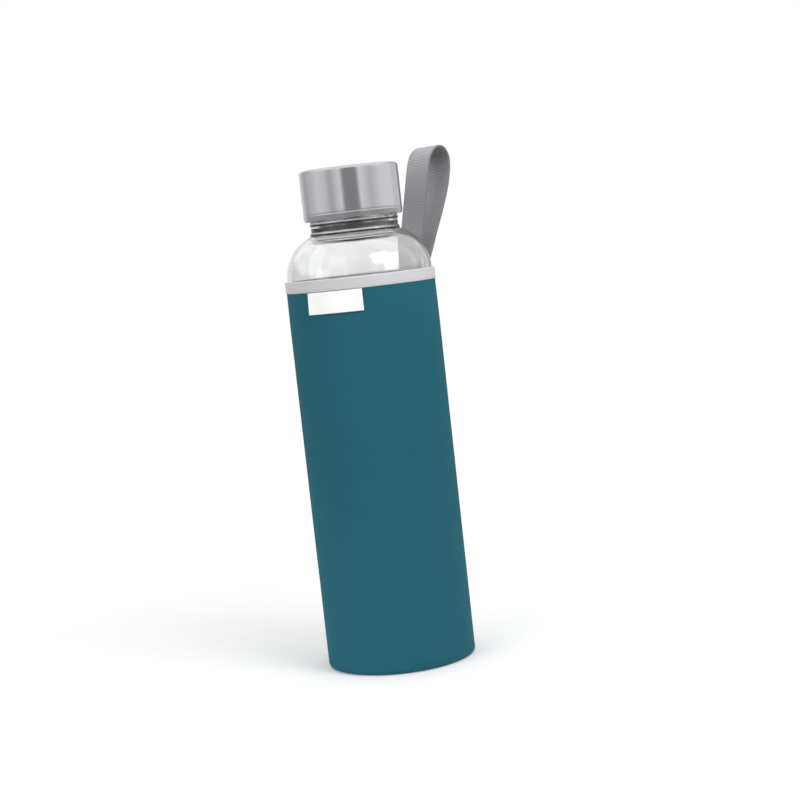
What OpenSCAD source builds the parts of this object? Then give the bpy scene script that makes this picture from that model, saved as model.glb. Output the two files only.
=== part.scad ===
// Glass water bottle in a soft sleeve: a threaded glass bottle, a screw cap with a
// plastic liner and a ring seal, a sewn neoprene sleeve with a bound top edge, a
// webbing carry loop and a small fabric label. Millimetres, +Z up. The origin is on
// the bottle's axis at the underside of the sleeve, and the label faces -Y.

/* [Sleeve] */
// Outside radius of the sleeve
sleeve_r = 35; // [33:0.5:38]
// Height of the sleeve to the top of its bound edge
sleeve_h = 183; // [150:1:200]
// Thickness of the neoprene wall
neoprene_t = 1; // [0.9:0.1:1.4]
// Thickness of the neoprene disc under the bottle
base_t = 1.6; // [1.2:0.1:1.6]
// Height of the folded binding around the top edge
binding_h = 5.4; // [4:0.2:8]
// Thickness of the binding tape
binding_t = 0.3; // [0.2:0.05:0.35]

/* [Glass] */
// Thickness of the glass wall
glass_wall = 2; // [1.6:0.1:2.4]
// Radius of the shoulder's curve
shoulder_r = 21; // [19:0.5:22]
// Outside radius of the neck
neck_r = 20.4; // [19.8:0.1:20.5]
// Inside radius of the neck
mouth_r = 17; // [16.5:0.1:17.4]
// Radius of the curve that flares the mouth into the shoulder
throat_r = 12; // [10:0.5:12]
// Height of the rim above the top of the sleeve
rim_rise = 46.8; // [44:0.2:50]

/* [Cap] */
// Outside radius of the steel shell
cap_r = 23.15; // [23:0.05:23.6]
// Height of the cap
cap_h = 23.8; // [23:0.1:25]
// Thickness of the steel
steel_t = 0.5; // [0.4:0.05:0.6]
// Height of the rolled hem around the cap's lower edge
hem_h = 3; // [2.4:0.1:3.4]
// Thickness of the silicone ring
seal_t = 1.5; // [1.2:0.1:1.6]

/* [Thread] */
// Rise of the thread in one turn
pitch = 4; // [3.5:0.1:4.5]
// Turns of thread on the neck and in the liner
thread_turns = 1.5; // [1:0.25:2]
// Height of the thread's ridge
thread_depth = 0.9; // [0.8:0.05:1]

/* [Strap] */
// Direction of the strap around the sleeve, in degrees from +X
strap_angle = 65; // [45:5:120]
// Width of the webbing
strap_w = 15; // [10:1:20]
// Thickness of the webbing
strap_t = 1.3; // [1:0.1:1.4]

/* [Label] */
// Width of the label around the sleeve
label_w = 26.5; // [15:0.5:35]
// Height of the label below the binding
label_h = 9.9; // [6:0.1:20]
// Thickness of the label
label_t = 0.35; // [0.2:0.05:0.5]

/* [Hidden] */
$fn = 96;
eps = 0.01;

// Sleeve
sleeve_bore = sleeve_r - neoprene_t;
heel_r = 2;                                  // rounded lower edge of the sleeve
lip_r = sleeve_r - 3.4;                      // the wall turns in under the bottle to here
straight_top = sleeve_h - 23;                // the wall is a true cylinder up to here
waist = 0.15;                                // how far the elastic edge draws the wall in
binding_z = sleeve_h - binding_h;
binding_r = sleeve_r + 0.15;
tape_gap = 0.02;
seam_w = 4;                                  // flat seam up the back
seam_depth = 0.35;
seam_top = straight_top;
seam_bottom = 5;
thread_w = 0.3;                              // sewing thread

// Glass
fit_gap = 0.1;                               // the sleeve hugs the glass
glass_r = sleeve_bore - fit_gap;
glass_z = base_t + 0.3;
glass_heel = 5;
floor_t = 3.2;
punt_r = 24;
punt_h = 1.4;
shoulder_x = glass_r - shoulder_r;
shoulder_z = sleeve_h + 0.2;
rim_z = sleeve_h + rim_rise;
lip_round = (neck_r - mouth_r) / 2;
throat_x = mouth_r + throat_r;
throat_reach = shoulder_r - glass_wall + throat_r;
throat_meets = acos((throat_x - shoulder_x) / throat_reach);
throat_z = shoulder_z + throat_reach * sin(throat_meets);
bead_sunk = 0.3;                             // the rings' centres lie this deep in the neck
bead_r = 1;
bead_z = sleeve_h + 20.3;
ring_r = 0.7;
ring_z = sleeve_h + 25;

// Cap
cap_top = rim_z + 3.5;
cap_z = cap_top - cap_h;
hem_r = cap_r + 0.2;
cap_corner = 1.7;
hem_bore = cap_r - 1.15;
hem_draft = 0.4;                             // the rolled hem narrows towards its foot
thread_clear = 0.3;
liner_r = cap_r - steel_t - 0.15;
liner_bore = neck_r + thread_depth + thread_clear;
liner_top = cap_top - steel_t - 0.2;
seal_z = rim_z + 0.05;
seal_bore = mouth_r - 2.6;
seal_r = liner_bore - 0.5;
thread_top = rim_z - 2.8;
thread_z = thread_top - pitch * thread_turns;
steps_per_turn = 40;
thread_root = 1;                             // half width of the ridge at its foot
thread_crest = 0.5;                          // half width at its top
thread_bury = 0.7;                           // the ridge starts this deep in the wall

// Strap: the hinge line lies where the sewn ends stop, and the loop's centre line is
// given from the sleeve's outside and its top edge.
patch_gap = 0.2;
patch_r = sleeve_r + patch_gap;
patch_z = sleeve_h - 22;
patch_h = 17.4;
layer_gap = 0.05;
hinge_x = sleeve_r + 1.9;
hinge_z = sleeve_h - 3;
knuckle_r = 1.4;
loop_line = [
    [1.15, -2.7], [1.4, 4], [1.85, 13], [4.3, 22], [8.7, 37.5], [12.3, 49.5],
    [15.6, 54.6], [20.2, 56.75], [24.4, 55.2], [26.5, 49.5], [24.2, 39.5],
    [18.7, 27.5], [11.5, 14.5], [5.6, 3.1], [2.65, -2.7]
];
loop_steps = 6;
box_margin = 2;                              // stitching lines sit this far inside the edge

// Label
label_r = sleeve_r + 0.25;
label_gap = 0.2;

function arc_deg(length, radius) = length / radius * 180 / PI;

// A point and a unit normal on the smooth curve through the loop's centre line.
function at(p, i) = p[max(0, min(len(p) - 1, i))];
function spline(p, i, t) =
    let (a = at(p, i - 1), b = at(p, i), c = at(p, i + 1), d = at(p, i + 2))
    0.5 * ((2 * b) + (c - a) * t + (2 * a - 5 * b + 4 * c - d) * t * t
        + (3 * b - a - 3 * c + d) * t * t * t);
function spline_points(p, steps) = [
    for (i = [0 : len(p) - 2]) for (s = [0 : steps - 1]) spline(p, i, s / steps),
    p[len(p) - 1]
];
function normal_at(q, i) =
    let (v = at(q, i + 1) - at(q, i - 1))
    [-v[1], v[0]] / norm(v);
function side_line(q, d) = [for (i = [0 : len(q) - 1]) q[i] + d * normal_at(q, i)];

// One ridge of thread, swept up a right-hand helix as a chain of rings of four
// points. It fades into the wall at both ends.
function ridge_ring(i, n, foot, crest, z0) =
    let (
        a = 360 * i / steps_per_turn,
        z = z0 + pitch * i / steps_per_turn,
        fade = min(1, 0.1 + i / 6, 0.1 + (n - i) / 6),
        r = foot + (crest - foot) * fade,
        around = [cos(a), sin(a), 0],
        up = [0, 0, 1]
    )
    [
        foot * around + (z - thread_root) * up,
        r * around + (z - thread_crest) * up,
        r * around + (z + thread_crest) * up,
        foot * around + (z + thread_root) * up
    ];

module thread_ridge(foot, crest, z0) {
    n = floor(steps_per_turn * thread_turns);
    rings = [for (i = [0 : n]) each ridge_ring(i, n, foot, crest, z0)];
    sides = [
        for (i = [0 : n - 1]) for (k = [0 : 3])
            let (a = 4 * i + k, b = 4 * i + (k + 1) % 4)
            each [[a, a + 4, b + 4], [a, b + 4, b]]
    ];
    ends = [[0, 1, 2], [0, 2, 3], [4 * n, 4 * n + 2, 4 * n + 1], [4 * n, 4 * n + 3, 4 * n + 2]];
    faces = concat(sides, ends);
    outward = crest > foot;
    polyhedron(points = rings, faces = outward ? [for (f = faces) [f[0], f[2], f[1]]] : faces);
}

// Half profiles, drawn with x as the radius and y as the height.
module heeled_profile(r, z0, z1, c) {
    translate([0, z0]) square([r - c, z1 - z0]);
    translate([0, z0 + c]) square([r, z1 - z0 - c]);
    translate([r - c, z0 + c]) circle(c);
}

module domed_profile(r, z0, z1, c) {
    translate([0, z0]) square([r - c, z1 - z0]);
    translate([0, z0]) square([r, z1 - z0 - c]);
    translate([r - c, z1 - c]) circle(c);
}

module soft_bar(x0, x1, z0, z1, c) {
    translate([x0 + c, z0]) square([x1 - x0 - 2 * c, z1 - z0]);
    translate([x0, z0 + c]) square([x1 - x0, z1 - z0 - 2 * c]);
    for (x = [x0 + c, x1 - c], z = [z0 + c, z1 - c]) translate([x, z]) circle(c);
}

module sector(angle, middle) {
    rotate([0, 0, middle - angle / 2]) rotate_extrude(angle = angle) children();
}

module glass_outside() {
    heeled_profile(glass_r, glass_z, shoulder_z, glass_heel);
    translate([shoulder_x, shoulder_z]) circle(shoulder_r);
    translate([0, shoulder_z - 1]) square([neck_r, rim_z - lip_round - shoulder_z + 1]);
    translate([neck_r - lip_round, rim_z - lip_round]) circle(lip_round);
    translate([neck_r - bead_sunk, bead_z]) circle(bead_r);
    translate([neck_r - bead_sunk, ring_z]) circle(ring_r);
}

module glass_inside() {
    heeled_profile(glass_r - glass_wall, glass_z + floor_t, shoulder_z, glass_heel);
    translate([shoulder_x, shoulder_z]) circle(shoulder_r - glass_wall);
    translate([0, shoulder_z - 1]) square([shoulder_x, shoulder_r - glass_wall + 1]);
    translate([0, shoulder_z]) square([mouth_r, rim_rise + 2]);
    throat_foot = [shoulder_x, shoulder_z]
        + (shoulder_r - glass_wall) * [cos(throat_meets), sin(throat_meets)];
    difference() {
        translate([0, throat_foot[1]]) square([throat_foot[0], throat_z - throat_foot[1]]);
        translate([throat_x, throat_z]) circle(throat_r);
    }
}

module glass_bottle() {
    punt_curve = (punt_r * punt_r + punt_h * punt_h) / (2 * punt_h);
    color([0.88, 0.93, 0.93, 0.35]) union() {
        rotate_extrude() intersection() {
            difference() {
                glass_outside();
                glass_inside();
                translate([0, glass_z + punt_h - punt_curve]) circle(punt_curve);
            }
            square([glass_r + 1, rim_z + 1]);
        }
        thread_ridge(neck_r - thread_bury, neck_r + thread_depth, thread_z);
    }
}

module cap_shell() {
    color([0.72, 0.72, 0.74]) rotate_extrude() intersection() {
        union() {
            difference() {
                domed_profile(cap_r, cap_z + 1, cap_top, cap_corner);
                domed_profile(cap_r - steel_t, cap_z, cap_top - steel_t, cap_corner - steel_t);
            }
            difference() {
                soft_bar(hem_bore, hem_r, cap_z, cap_z + hem_h, 0.65);
                polygon([
                    [hem_r - hem_draft, cap_z - 0.1], [hem_r + 1, cap_z - 0.1],
                    [hem_r + 1, cap_z + hem_h - 0.65], [hem_r, cap_z + hem_h - 0.65]
                ]);
            }
        }
        square([cap_r + 2, cap_top + 1]);
    }
}

module cap_liner() {
    liner_z = cap_z + hem_h + 0.15;
    color([0.55, 0.56, 0.58]) union() {
        rotate_extrude() difference() {
            domed_profile(liner_r, liner_z, liner_top, cap_corner - steel_t);
            translate([-eps, liner_z - 1]) square([liner_bore + eps, seal_z + seal_t + 0.05 - liner_z + 1]);
            translate([-5, 0]) square([5, liner_top + 1]);
        }
        thread_ridge(liner_bore + thread_bury, neck_r + 0.4, thread_z - pitch / 2);
    }
}

module cap_seal() {
    color([0.9, 0.9, 0.88]) rotate_extrude()
        soft_bar(seal_bore, seal_r, seal_z, seal_z + seal_t, 0.35);
}

module sleeve_tube() {
    fold_z = binding_z - tape_gap;
    under_tape = binding_r - binding_t - tape_gap;
    color([0.17, 0.4, 0.46]) difference() {
        rotate_extrude() difference() {
            union() {
                heeled_profile(sleeve_r, 0, straight_top, heel_r);
                polygon([
                    [0, straight_top - 1], [sleeve_r, straight_top - 1], [sleeve_r, straight_top],
                    [sleeve_r - waist, fold_z], [under_tape, fold_z],
                    [under_tape, sleeve_h - binding_t - tape_gap], [0, sleeve_h - binding_t - tape_gap]
                ]);
            }
            heeled_profile(sleeve_bore, neoprene_t, sleeve_h + 1, heel_r - neoprene_t);
            translate([0, fold_z]) square([sleeve_bore + binding_t + tape_gap, binding_h]);
            translate([-eps, -1]) square([lip_r + eps, neoprene_t + 2]);
            translate([0, -1]) square([lip_r + 0.5, 1 + seam_depth]);
        }
        sector(arc_deg(seam_w, sleeve_r), strap_angle)
            translate([sleeve_r - seam_depth, seam_bottom]) square([2, seam_top - seam_bottom]);
    }
}

module sleeve_base() {
    color([0.15, 0.37, 0.43]) rotate_extrude() difference() {
        square([lip_r - 0.1, base_t]);
        translate([lip_r - 0.6, -1]) square([1, 1 + seam_depth]);
    }
}

module top_binding() {
    outer = binding_r;
    inner = sleeve_bore;
    color([0.79, 0.79, 0.8]) rotate_extrude() difference() {
        domed_profile(outer, binding_z, sleeve_h, 0.45);
        translate([0, binding_z - 1]) square([inner, binding_h + 2]);
        translate([inner + binding_t, binding_z - 1])
            square([outer - inner - 2 * binding_t, binding_h + 1 - binding_t]);
    }
}

module label() {
    color([0.97, 0.97, 0.97]) sector(arc_deg(label_w, label_r), -90)
        translate([label_r, binding_z - label_gap - label_h]) square([label_t, label_h]);
}

module strap_ends() {
    color([0.58, 0.58, 0.6]) for (layer = [0, 1]) {
        r = patch_r + layer * (strap_t + layer_gap);
        sector(arc_deg(strap_w, patch_r + strap_t), strap_angle)
            translate([r, patch_z]) square([strap_t, patch_h]);
    }
}

module carry_strap() {
    line = spline_points(loop_line, loop_steps);
    ahead = side_line(line, strap_t / 2);
    behind = side_line(line, -strap_t / 2);
    n = len(line);
    color([0.6, 0.6, 0.62]) rotate([0, 0, strap_angle]) rotate([90, 0, 0]) union() {
        translate([sleeve_r, sleeve_h, -strap_w / 2]) linear_extrude(height = strap_w)
            polygon(concat(ahead, [for (i = [0 : n - 1]) behind[n - 1 - i]]));
        translate([hinge_x, hinge_z]) cylinder(r = knuckle_r, h = strap_w, center = true);
    }
}

module binding_stitching() {
    strap_sector = arc_deg(strap_w, sleeve_r) + 6;
    color([0.76, 0.74, 0.72]) sector(360 - strap_sector, strap_angle + 180)
        translate([binding_r + thread_w / 2 + tape_gap, binding_z + 0.45]) circle(thread_w / 2);
}

// A flat seam: two rows of thread up the back, joined by a ladder of crossings.
module back_seam_stitching() {
    r = sleeve_r - seam_depth + tape_gap;
    t = seam_depth - 3 * tape_gap;
    row = arc_deg(thread_w, sleeve_r);
    half = arc_deg(seam_w / 2 - 0.5, sleeve_r);
    first = seam_bottom + 1;
    spacing = 3;
    rungs = floor((seam_top - seam_bottom - 2) / spacing);
    color([0.14, 0.33, 0.38]) union() {
        for (side = [-1, 1]) sector(row, strap_angle + side * half)
            translate([r, first]) square([t, spacing * rungs]);
        for (k = [0 : rungs]) sector(2 * half + row, strap_angle)
            translate([r, first + spacing * k - thread_w / 2]) square([t, thread_w]);
    }
}

module base_stitching() {
    color([0.14, 0.33, 0.38]) rotate_extrude()
        translate([lip_r - 0.5, 0.1]) square([0.9, seam_depth - 0.15]);
}

// A box with a cross, sewn through both ends of the webbing.
module strap_stitching() {
    face = patch_r + 2 * strap_t + layer_gap + tape_gap;
    w = strap_w - 2 * box_margin;
    h = patch_h - 2 * box_margin;
    slant = atan2(h, w);
    color([0.5, 0.5, 0.52]) intersection() {
        sector(arc_deg(strap_w, face), strap_angle)
            translate([face, patch_z]) square([thread_w, patch_h]);
        rotate([0, 0, strap_angle]) translate([0, 0, patch_z + patch_h / 2])
            rotate([90, 0, 90]) linear_extrude(height = 2 * sleeve_r) union() {
                difference() {
                    square([w, h], center = true);
                    square([w - 2 * thread_w, h - 2 * thread_w], center = true);
                }
                for (tilt = [-slant, slant]) rotate(tilt)
                    square([norm([w, h]) - 2 * thread_w, thread_w], center = true);
            }
    }
}

glass_bottle();
cap_shell();
cap_liner();
cap_seal();
sleeve_tube();
sleeve_base();
top_binding();
label();
strap_ends();
carry_strap();
binding_stitching();
back_seam_stitching();
base_stitching();
strap_stitching();
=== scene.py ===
"""Looks for the glass water bottle: clear glass, a brushed steel cap, a neoprene sleeve
with a bound edge, sewn seams, a webbing carry loop and a blank label.

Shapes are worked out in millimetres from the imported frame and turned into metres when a
mesh is made. Angles around the bottle are counted from +X towards +Y.
"""
import math

import bmesh
import bpy
import numpy as np
from mathutils import Matrix, Vector


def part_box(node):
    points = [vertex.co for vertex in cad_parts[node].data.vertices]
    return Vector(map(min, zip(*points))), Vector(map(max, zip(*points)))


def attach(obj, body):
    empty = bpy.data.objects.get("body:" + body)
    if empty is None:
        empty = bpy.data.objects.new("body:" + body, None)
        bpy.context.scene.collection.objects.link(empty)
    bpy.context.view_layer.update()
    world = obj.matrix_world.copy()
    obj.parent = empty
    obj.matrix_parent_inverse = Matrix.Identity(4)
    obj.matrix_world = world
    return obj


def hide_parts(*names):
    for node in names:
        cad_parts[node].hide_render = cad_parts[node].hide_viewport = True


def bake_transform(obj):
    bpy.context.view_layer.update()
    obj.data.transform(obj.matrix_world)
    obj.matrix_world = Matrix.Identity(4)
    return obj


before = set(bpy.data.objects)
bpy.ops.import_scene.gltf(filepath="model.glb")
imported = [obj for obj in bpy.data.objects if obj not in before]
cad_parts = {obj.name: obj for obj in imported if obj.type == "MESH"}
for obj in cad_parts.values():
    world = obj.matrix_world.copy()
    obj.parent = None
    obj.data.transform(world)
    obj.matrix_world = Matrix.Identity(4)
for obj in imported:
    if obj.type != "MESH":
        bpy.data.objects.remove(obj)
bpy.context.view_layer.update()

MM = 0.001
TURN = 2 * math.pi


def extent(node):
    """A CAD node's lowest and highest Z and its reach along X, in millimetres."""
    low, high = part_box(node)
    return low[2] / MM, high[2] / MM, high[0] / MM


# ---- sizes from the frame
SLEEVE_R = extent("sleeve_tube")[2]
WALL = 1.0  # of the neoprene
BORE = SLEEVE_R - WALL
BINDING_LOW, BINDING_HIGH, BINDING_R = extent("top_binding")
TAPE = 0.3  # thickness of the binding
BINDING_STITCHES = round(TURN * BINDING_R / 1.75)
STRAIGHT_TOP = BINDING_HIGH - 23  # the sleeve narrows by WAIST above this
WAIST = 0.15
HEEL = 2.0  # radius of the sleeve's lower edge
LIP_R = SLEEVE_R - 3.4  # where the tube, turned in under the bottle, meets the base disc
_, BASE_T, BASE_R = extent("sleeve_base")
SEAM_DEPTH = 0.35  # how far the sewn seams sink in
BACK_SEAM_STEP = 3.0
BASE_STITCHES = 132
WALE, COURSE = 0.62, 0.5  # the knit's stitch, across and along

GLASS_LOW, RIM_Z, _ = extent("glass_bottle")
GLASS_R = BORE - 0.1
GLASS_WALL = 2.0
GLASS_HEEL = 5.0
GLASS_FLOOR = 3.2
PUNT_R, PUNT_H = 24.0, 1.4
SHOULDER_R = 21.0
SHOULDER_X = GLASS_R - SHOULDER_R
SHOULDER_Z = BINDING_HIGH + 0.2
NECK_R, MOUTH_R = 20.4, 17.0
THROAT_R = 12.0  # the curve from the mouth's bore into the shoulder
RINGS_SUNK = 0.3  # how deep the neck's beads sit in its wall
BEAD_Z, BEAD_R = BINDING_HIGH + 20.3, 1.0
RING_Z, RING_R = BINDING_HIGH + 25.0, 0.7
THREAD_PITCH, THREAD_TURNS, THREAD_RISE = 4.0, 1.5, 0.9
THREAD_RUN = THREAD_PITCH * THREAD_TURNS
THREAD_Z = RIM_Z - 2.8 - THREAD_RUN

CAP_LOW, CAP_TOP, HEM_R = extent("cap_shell")
CAP_R = HEM_R - 0.2
STEEL = 0.5
CAP_CORNER = 1.7
HEM_H = 3.0
LINER_LOW, LINER_TOP, LINER_R = extent("cap_liner")
LINER_BORE = 21.6
LINER_THREAD_Z = THREAD_Z - THREAD_PITCH / 2
SEAL_LOW, SEAL_TOP, SEAL_R = extent("cap_seal")
SEAL_BORE = 14.4

STRAP_ANGLE = math.radians(65)
OUT_X, OUT_Y = math.cos(STRAP_ANGLE), math.sin(STRAP_ANGLE)
STRAP_W, STRAP_T = 15.0, 1.3
STRAP_EDGE = 0.4  # width of the webbing's rounded edges
FLAT_POINTS = 47
EDGE_TURN = np.radians((-60, -30, 0, 30, 60))
TWILL_COLUMN, TWILL_PITCH = STRAP_W / 6, 1.4
SELVEDGE_PITCH = 0.7
PATCH_LOW, PATCH_HIGH, _ = extent("strap_ends")
INNER_LAYER_R = SLEEVE_R + 0.2 + STRAP_T / 2
OUTER_LAYER_R = INNER_LAYER_R + STRAP_T + 0.05
HINGE_R, HINGE_Z = SLEEVE_R + 1.9, BINDING_HIGH - 3
# The free loop's centre line, from the sleeve's outside and its top edge.
LOOP_LINE = [
    (1.15, -2.7), (1.4, 4), (1.85, 13), (4.3, 22), (8.7, 37.5), (12.3, 49.5),
    (15.6, 54.6), (20.2, 56.75), (24.4, 55.2), (26.5, 49.5), (24.2, 39.5),
    (18.7, 27.5), (11.5, 14.5), (5.6, 3.1), (2.65, -2.7),
]

LABEL_LOW, LABEL_HIGH, _ = extent("label")
LABEL_R = SLEEVE_R + 0.25
LABEL_T = 0.35
RIBBON = 0.15  # thickness of one layer
LABEL_W = 26.5
LABEL_ANGLE = -math.pi / 2

# The camera, in metres and degrees, and its lens
CAMERA_AZIMUTH = math.radians(21.4)
CAMERA_DISTANCE, CAMERA_HEIGHT = 0.8049, 0.19762
CAMERA_YAW, CAMERA_PITCH, CAMERA_ROLL = (math.radians(a) for a in (0.8735, 5.3496, -6.3069))
LENS_MM, SENSOR_MM = 77.28, 36.0

# The lights: name, place, aim, width and height, in metres as the camera sees them, and watts
SOFTBOXES = [
    ("key_softbox", (0.2, -0.23, 0.4), (0, 0, 0.19), 0.18, 0.18, 1.0),
    ("fill_softbox", (-1.0, -0.55, 0.22), (0, 0, 0.12), 0.5, 0.7, 3.2),
    ("front_softbox", (-0.2, -0.24, 0.42), (0, 0, 0.19), 0.18, 0.18, 0.22),
    ("top_softbox", (-0.1, 0.35, 1.3), (0, 0, 0.1), 0.9, 0.5, 2.0),
]
# The studio's walls, by the angle round from the camera: (degrees, brightness)
WALLS = [
    (-180, 0.8), (-165, 0.9), (-150, 0.8), (-128, 0.55), (-105, 0.75), (-80, 0.98), (-62, 0.9),
    (-46, 0.58), (-34, 0.85), (-22, 1.12), (-15, 0.3), (17, 0.3), (23, 1.2), (33, 0.96), (48, 0.74),
    (60, 0.85), (75, 1.05), (108, 1.05), (122, 0.82), (145, 0.8), (153, 0.4), (163, 0.4),
    (169, 0.7), (180, 0.75),
]
# The bright ceiling that the glass mirrors, the same way: (degrees, brightness, lowest height)
CEILING = [
    (-180, 0.3, 0.4), (-160, 0.3, 0.4), (-135, 2.5, 0.3), (-95, 4.0, 0.15), (-60, 5.5, 0.08),
    (42, 5.5, 0.08), (62, 6.0, 0.05), (98, 6.0, 0.05), (118, 2.6, 0.1), (138, 1.2, 0.3),
    (165, 0.3, 0.4), (180, 0.3, 0.4),
]
# How much weaker the studio's walls are as light on cloth than as seen in steel and glass
DIMMED = 0.12
# The two softboxes that the shoulder mirrors, on walls one unit to the left and to the right:
# each edge is constant + a x distance towards the camera + b x height, positive inside.
WINDOWS = [
    (-1, [(-0.15, 1, 0.5), (0.55, -1, -0.23), (1.6, 0, -1), (-0.02, 0, 1)], 2.0),
    (1, [(1.22, -1, -0.11), (-0.617, 1, 0.59), (0.7, 0.667, -1), (-0.06, 0, 1)], 7.0),
]


# ---- camera, lights, stage
def studio(x, y, z):
    """A point given as the camera sees it (x right, y away, z up, metres) in the row frame."""
    return Matrix.Rotation(CAMERA_AZIMUTH, 3, "Z") @ Vector((x, y, z))


def add_object(name, data):
    made = bpy.data.objects.new(name, data)
    bpy.context.scene.collection.objects.link(made)
    return made


def make_camera():
    data = bpy.data.cameras.new("camera")
    data.lens, data.sensor_width = LENS_MM, SENSOR_MM
    data.clip_start, data.clip_end = 0.05, 20
    aim = (Matrix.Rotation(-CAMERA_YAW, 4, "Z")
           @ Matrix.Rotation(TURN / 4 - CAMERA_PITCH, 4, "X")
           @ Matrix.Rotation(CAMERA_ROLL, 4, "Z"))
    place = Matrix.Translation((0, -CAMERA_DISTANCE, CAMERA_HEIGHT))
    camera = add_object("camera", data)
    camera.matrix_world = Matrix.Rotation(CAMERA_AZIMUTH, 4, "Z") @ place @ aim
    bpy.context.scene.camera = camera


def softbox(name, position, target, width, height, watts):
    data = bpy.data.lights.new(name, "AREA")
    data.shape, data.size, data.size_y, data.energy = "RECTANGLE", width, height, watts
    light = add_object(name, data)
    place, aim = studio(*position), studio(*target)
    light.location = place
    light.rotation_euler = (aim - place).to_track_quat("-Z", "Y").to_euler()
    light.visible_glossy = False
    light.visible_camera = False


# ---- node helpers
class Value:
    """A shader node's output. Arithmetic on it adds Math nodes to the same tree."""

    def __init__(self, socket):
        self.socket, self.tree = socket, socket.id_data

    def __add__(self, other):
        return calc("ADD", self, other)

    def __sub__(self, other):
        return calc("SUBTRACT", self, other)

    def __rsub__(self, other):
        return calc("SUBTRACT", other, self)

    def __mul__(self, other):
        return calc("MULTIPLY", self, other)

    def __truediv__(self, other):
        return calc("DIVIDE", self, other)


def add_node(tree, kind, inputs=None, **settings):
    """Adds a node, whose inputs are numbers, colours or Values."""
    made = tree.nodes.new(kind)
    for key, value in settings.items():
        setattr(made, key, value)
    for key, value in (inputs or {}).items():
        if isinstance(value, Value):
            tree.links.new(value.socket, made.inputs[key])
        else:
            made.inputs[key].default_value = value
    return made


def node_value(tree, kind, inputs=None, output=0, **settings):
    """Adds a node and gives one of its outputs."""
    return Value(add_node(tree, kind, inputs, **settings).outputs[output])


def tree_of(*values):
    return next(value.tree for value in values if isinstance(value, Value))


def calc(operation, *values):
    inputs = dict(enumerate(values))
    return node_value(tree_of(*values), "ShaderNodeMath", inputs, operation=operation)


def mix_colour(share, a, b, blend="MIX"):
    inputs = {0: share, 6: a, 7: b}
    return node_value(tree_of(share, a, b), "ShaderNodeMix", inputs, 2,
                      data_type="RGBA", blend_type=blend)


def shaded(colour, grey, blend="MULTIPLY"):
    """A colour multiplied by a grey value, or with the blend "ADD" lit by it."""
    return mix_colour(1.0, colour, vector_of(grey, grey, grey), blend)


def ramp(value, stops):
    """A grey ramp of (place, brightness) stops."""
    made = add_node(value.tree, "ShaderNodeValToRGB", {"Fac": value})
    made.color_ramp.interpolation = "EASE"
    elements = made.color_ramp.elements
    while len(elements) < len(stops):
        elements.new(0.5)
    for element, (place, grey) in zip(elements, stops):
        element.position = place
        element.color = (grey, grey, grey, 1)
    return Value(made.outputs["Color"])


def round_ramp(around, stops):
    """A grey ramp of (degrees, brightness) stops from -180 to 180."""
    return ramp(around, [((degrees + 180) / 360, grey) for degrees, grey in stops])


def map_range(value, low, high, out_low, out_high, **settings):
    inputs = dict(enumerate((value, low, high, out_low, out_high)))
    return node_value(value.tree, "ShaderNodeMapRange", inputs, **settings)


def edge_of(side, softness=0.04):
    """1 where side is positive and 0 where it is negative, with a soft step between."""
    return map_range(side, -softness, softness, 0.0, 1.0, interpolation_type="SMOOTHSTEP")


def noise_value(place, scale, detail, rough=0.5):
    inputs = {"Vector": place, "Scale": scale, "Detail": detail, "Roughness": rough}
    return node_value(place.tree, "ShaderNodeTexNoise", inputs, "Fac")


def yarns(place, spacing):
    """Evenly spaced yarns, as waves from -1 to 1."""
    return calc("SINE", place * (TURN / spacing))


def surface_mm(shader):
    """The piece's own unrolled surface coordinates, in millimetres: around or across, along,
    and the two together."""
    place = node_value(shader.id_data, "ShaderNodeUVMap", uv_map="mm")
    parts = add_node(place.tree, "ShaderNodeSeparateXYZ", {0: place})
    return Value(parts.outputs[0]), Value(parts.outputs[1]), place


def vector_of(x, y, z=0.0):
    return node_value(x.tree, "ShaderNodeCombineXYZ", {0: x, 1: y, 2: z})


def srgb(r, g, b):
    """A colour given as 0 to 255 display values, as linear RGBA."""
    def linear(v):
        v /= 255
        return v / 12.92 if v <= 0.04045 else ((v + 0.055) / 1.055) ** 2.4
    return linear(r), linear(g), linear(b), 1.0


def bump(height, depth_mm, strength):
    inputs = {"Height": height, "Distance": depth_mm * MM, "Strength": strength}
    return node_value(height.tree, "ShaderNodeBump", inputs)


def new_material(name, **shader_values):
    """A material with one Principled shader, whose plain values are set on its own sockets."""
    material = bpy.data.materials.new(name)
    material.use_nodes = True
    tree = material.node_tree
    tree.nodes.clear()
    shader = add_node(tree, "ShaderNodeBsdfPrincipled")
    add_node(tree, "ShaderNodeOutputMaterial", {"Surface": Value(shader.outputs[0])})
    for key, value in shader_values.items():
        shader.inputs[key.replace("_", " ")].default_value = value
    return material, shader


def wire(shader, **values):
    for key, value in values.items():
        shader.id_data.links.new(value.socket, shader.inputs[key.replace("_", " ")])


def see_through(shader, share, colour=(1, 1, 1, 1)):
    """Mixes the material's shader with plain transparency, by a share from 0 to 1."""
    tree = shader.id_data
    clear = node_value(tree, "ShaderNodeBsdfTransparent", {"Color": colour})
    inputs = {0: share, 1: Value(shader.outputs[0]), 2: clear}
    mixed = add_node(tree, "ShaderNodeMixShader", inputs)
    tree.links.new(mixed.outputs[0], tree.get_output_node("ALL").inputs["Surface"])


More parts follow.
